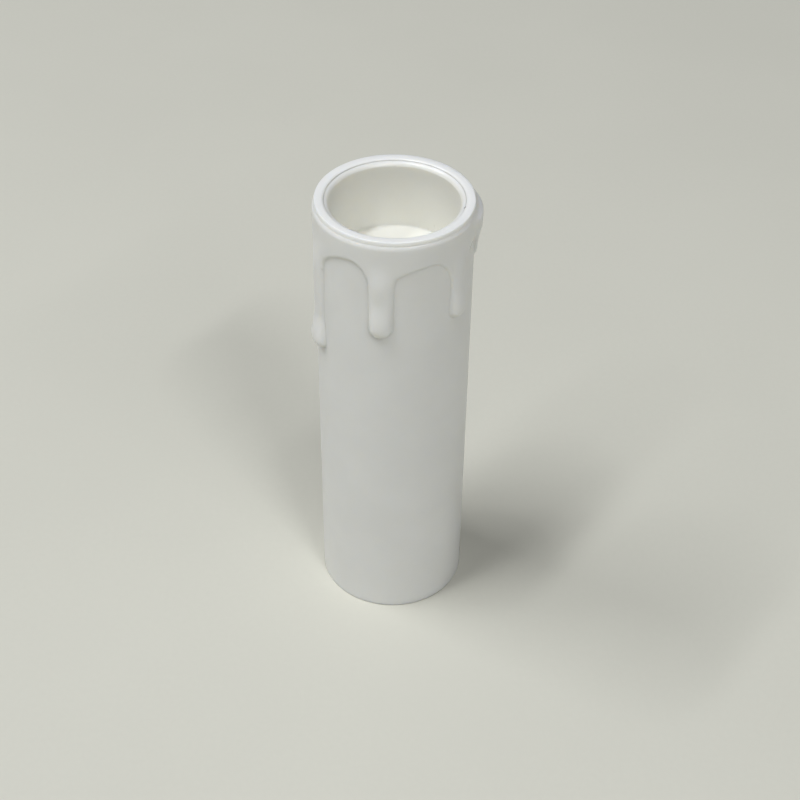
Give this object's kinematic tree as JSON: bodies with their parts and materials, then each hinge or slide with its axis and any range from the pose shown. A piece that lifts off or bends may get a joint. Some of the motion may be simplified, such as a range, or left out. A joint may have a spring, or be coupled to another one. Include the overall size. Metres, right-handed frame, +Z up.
{
  "type": "candle sleeve",
  "caption": "White plastic candle sleeve with a cup in its head and imitation wax that runs down its outside in arches and drips.",
  "frame": {"origin": "centre of the foot, on the tube's axis", "axes": "+Z up along the tube's axis, from the foot to the open rim; -Y towards the side with the front drip"},
  "size_m": [0.0291, 0.0292, 0.085],
  "materials": {
    "plastic": "satin, moulded"
  },
  "bodies": {
    "root": {"candle_sleeve": "plastic"}
  },
  "joints": []
}
